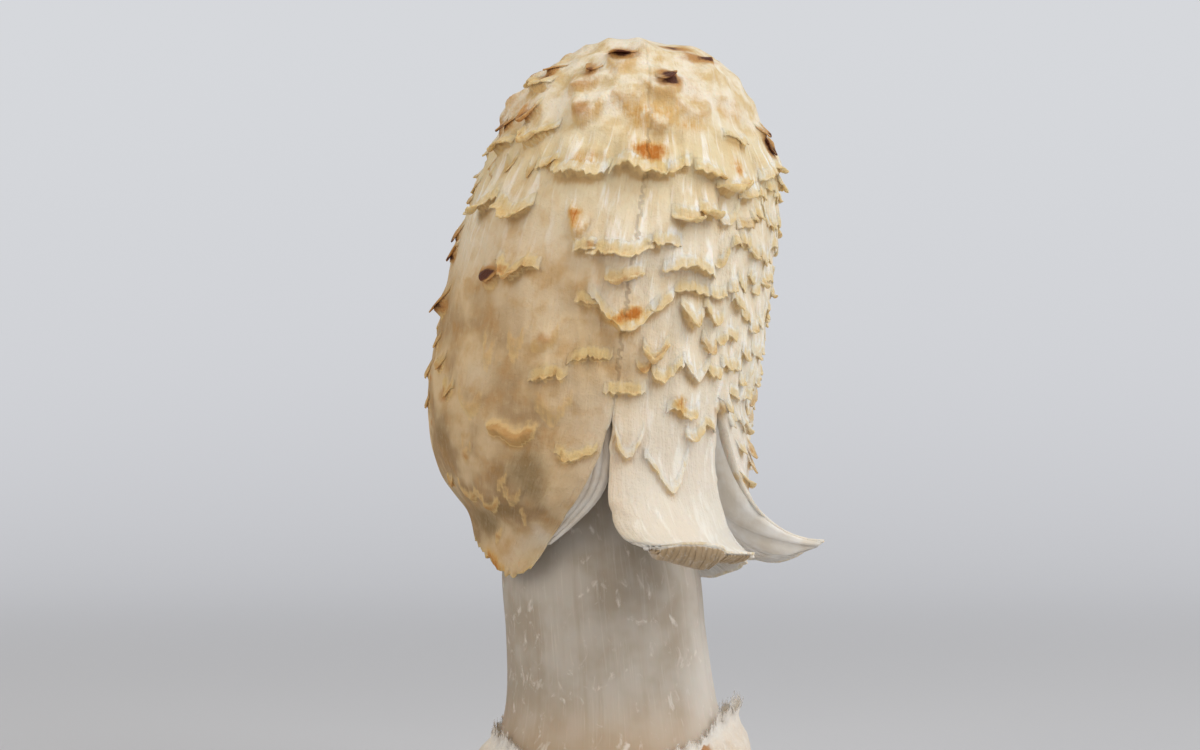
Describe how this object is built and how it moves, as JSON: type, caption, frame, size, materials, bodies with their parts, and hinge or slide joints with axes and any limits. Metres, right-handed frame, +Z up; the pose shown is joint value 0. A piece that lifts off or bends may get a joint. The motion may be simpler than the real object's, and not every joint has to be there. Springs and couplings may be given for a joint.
{
  "type": "shaggy ink cap",
  "caption": "Shaggy ink cap mushroom with a tall scaly bell, torn lobes curling open over pale gills, a thick silky stem and a ragged ring round its swollen foot.",
  "frame": {"origin": "middle of the flat cut across the foot of the stem", "axes": "+Z up along the stem, -Y towards the side with the largest tear, +X towards the lobe that stands out furthest"},
  "size_m": [0.0611, 0.059, 0.1183],
  "materials": {
    "cap_flesh": "matte, fibrous and scaly, off-white with tan and orange-brown scale tips",
    "gill_tissue": "matte, thin crowded plates, white to pale pinkish tan",
    "stem_flesh": "silky, with fine lengthwise fibres, white to pale grey",
    "ring_tissue": "matte, soft and ragged, cream with a tan-brown bruise"
  },
  "bodies": {
    "root": {"cap": "cap_flesh", "gills": "gill_tissue", "stem": "stem_flesh", "ring": "ring_tissue"}
  },
  "joints": []
}
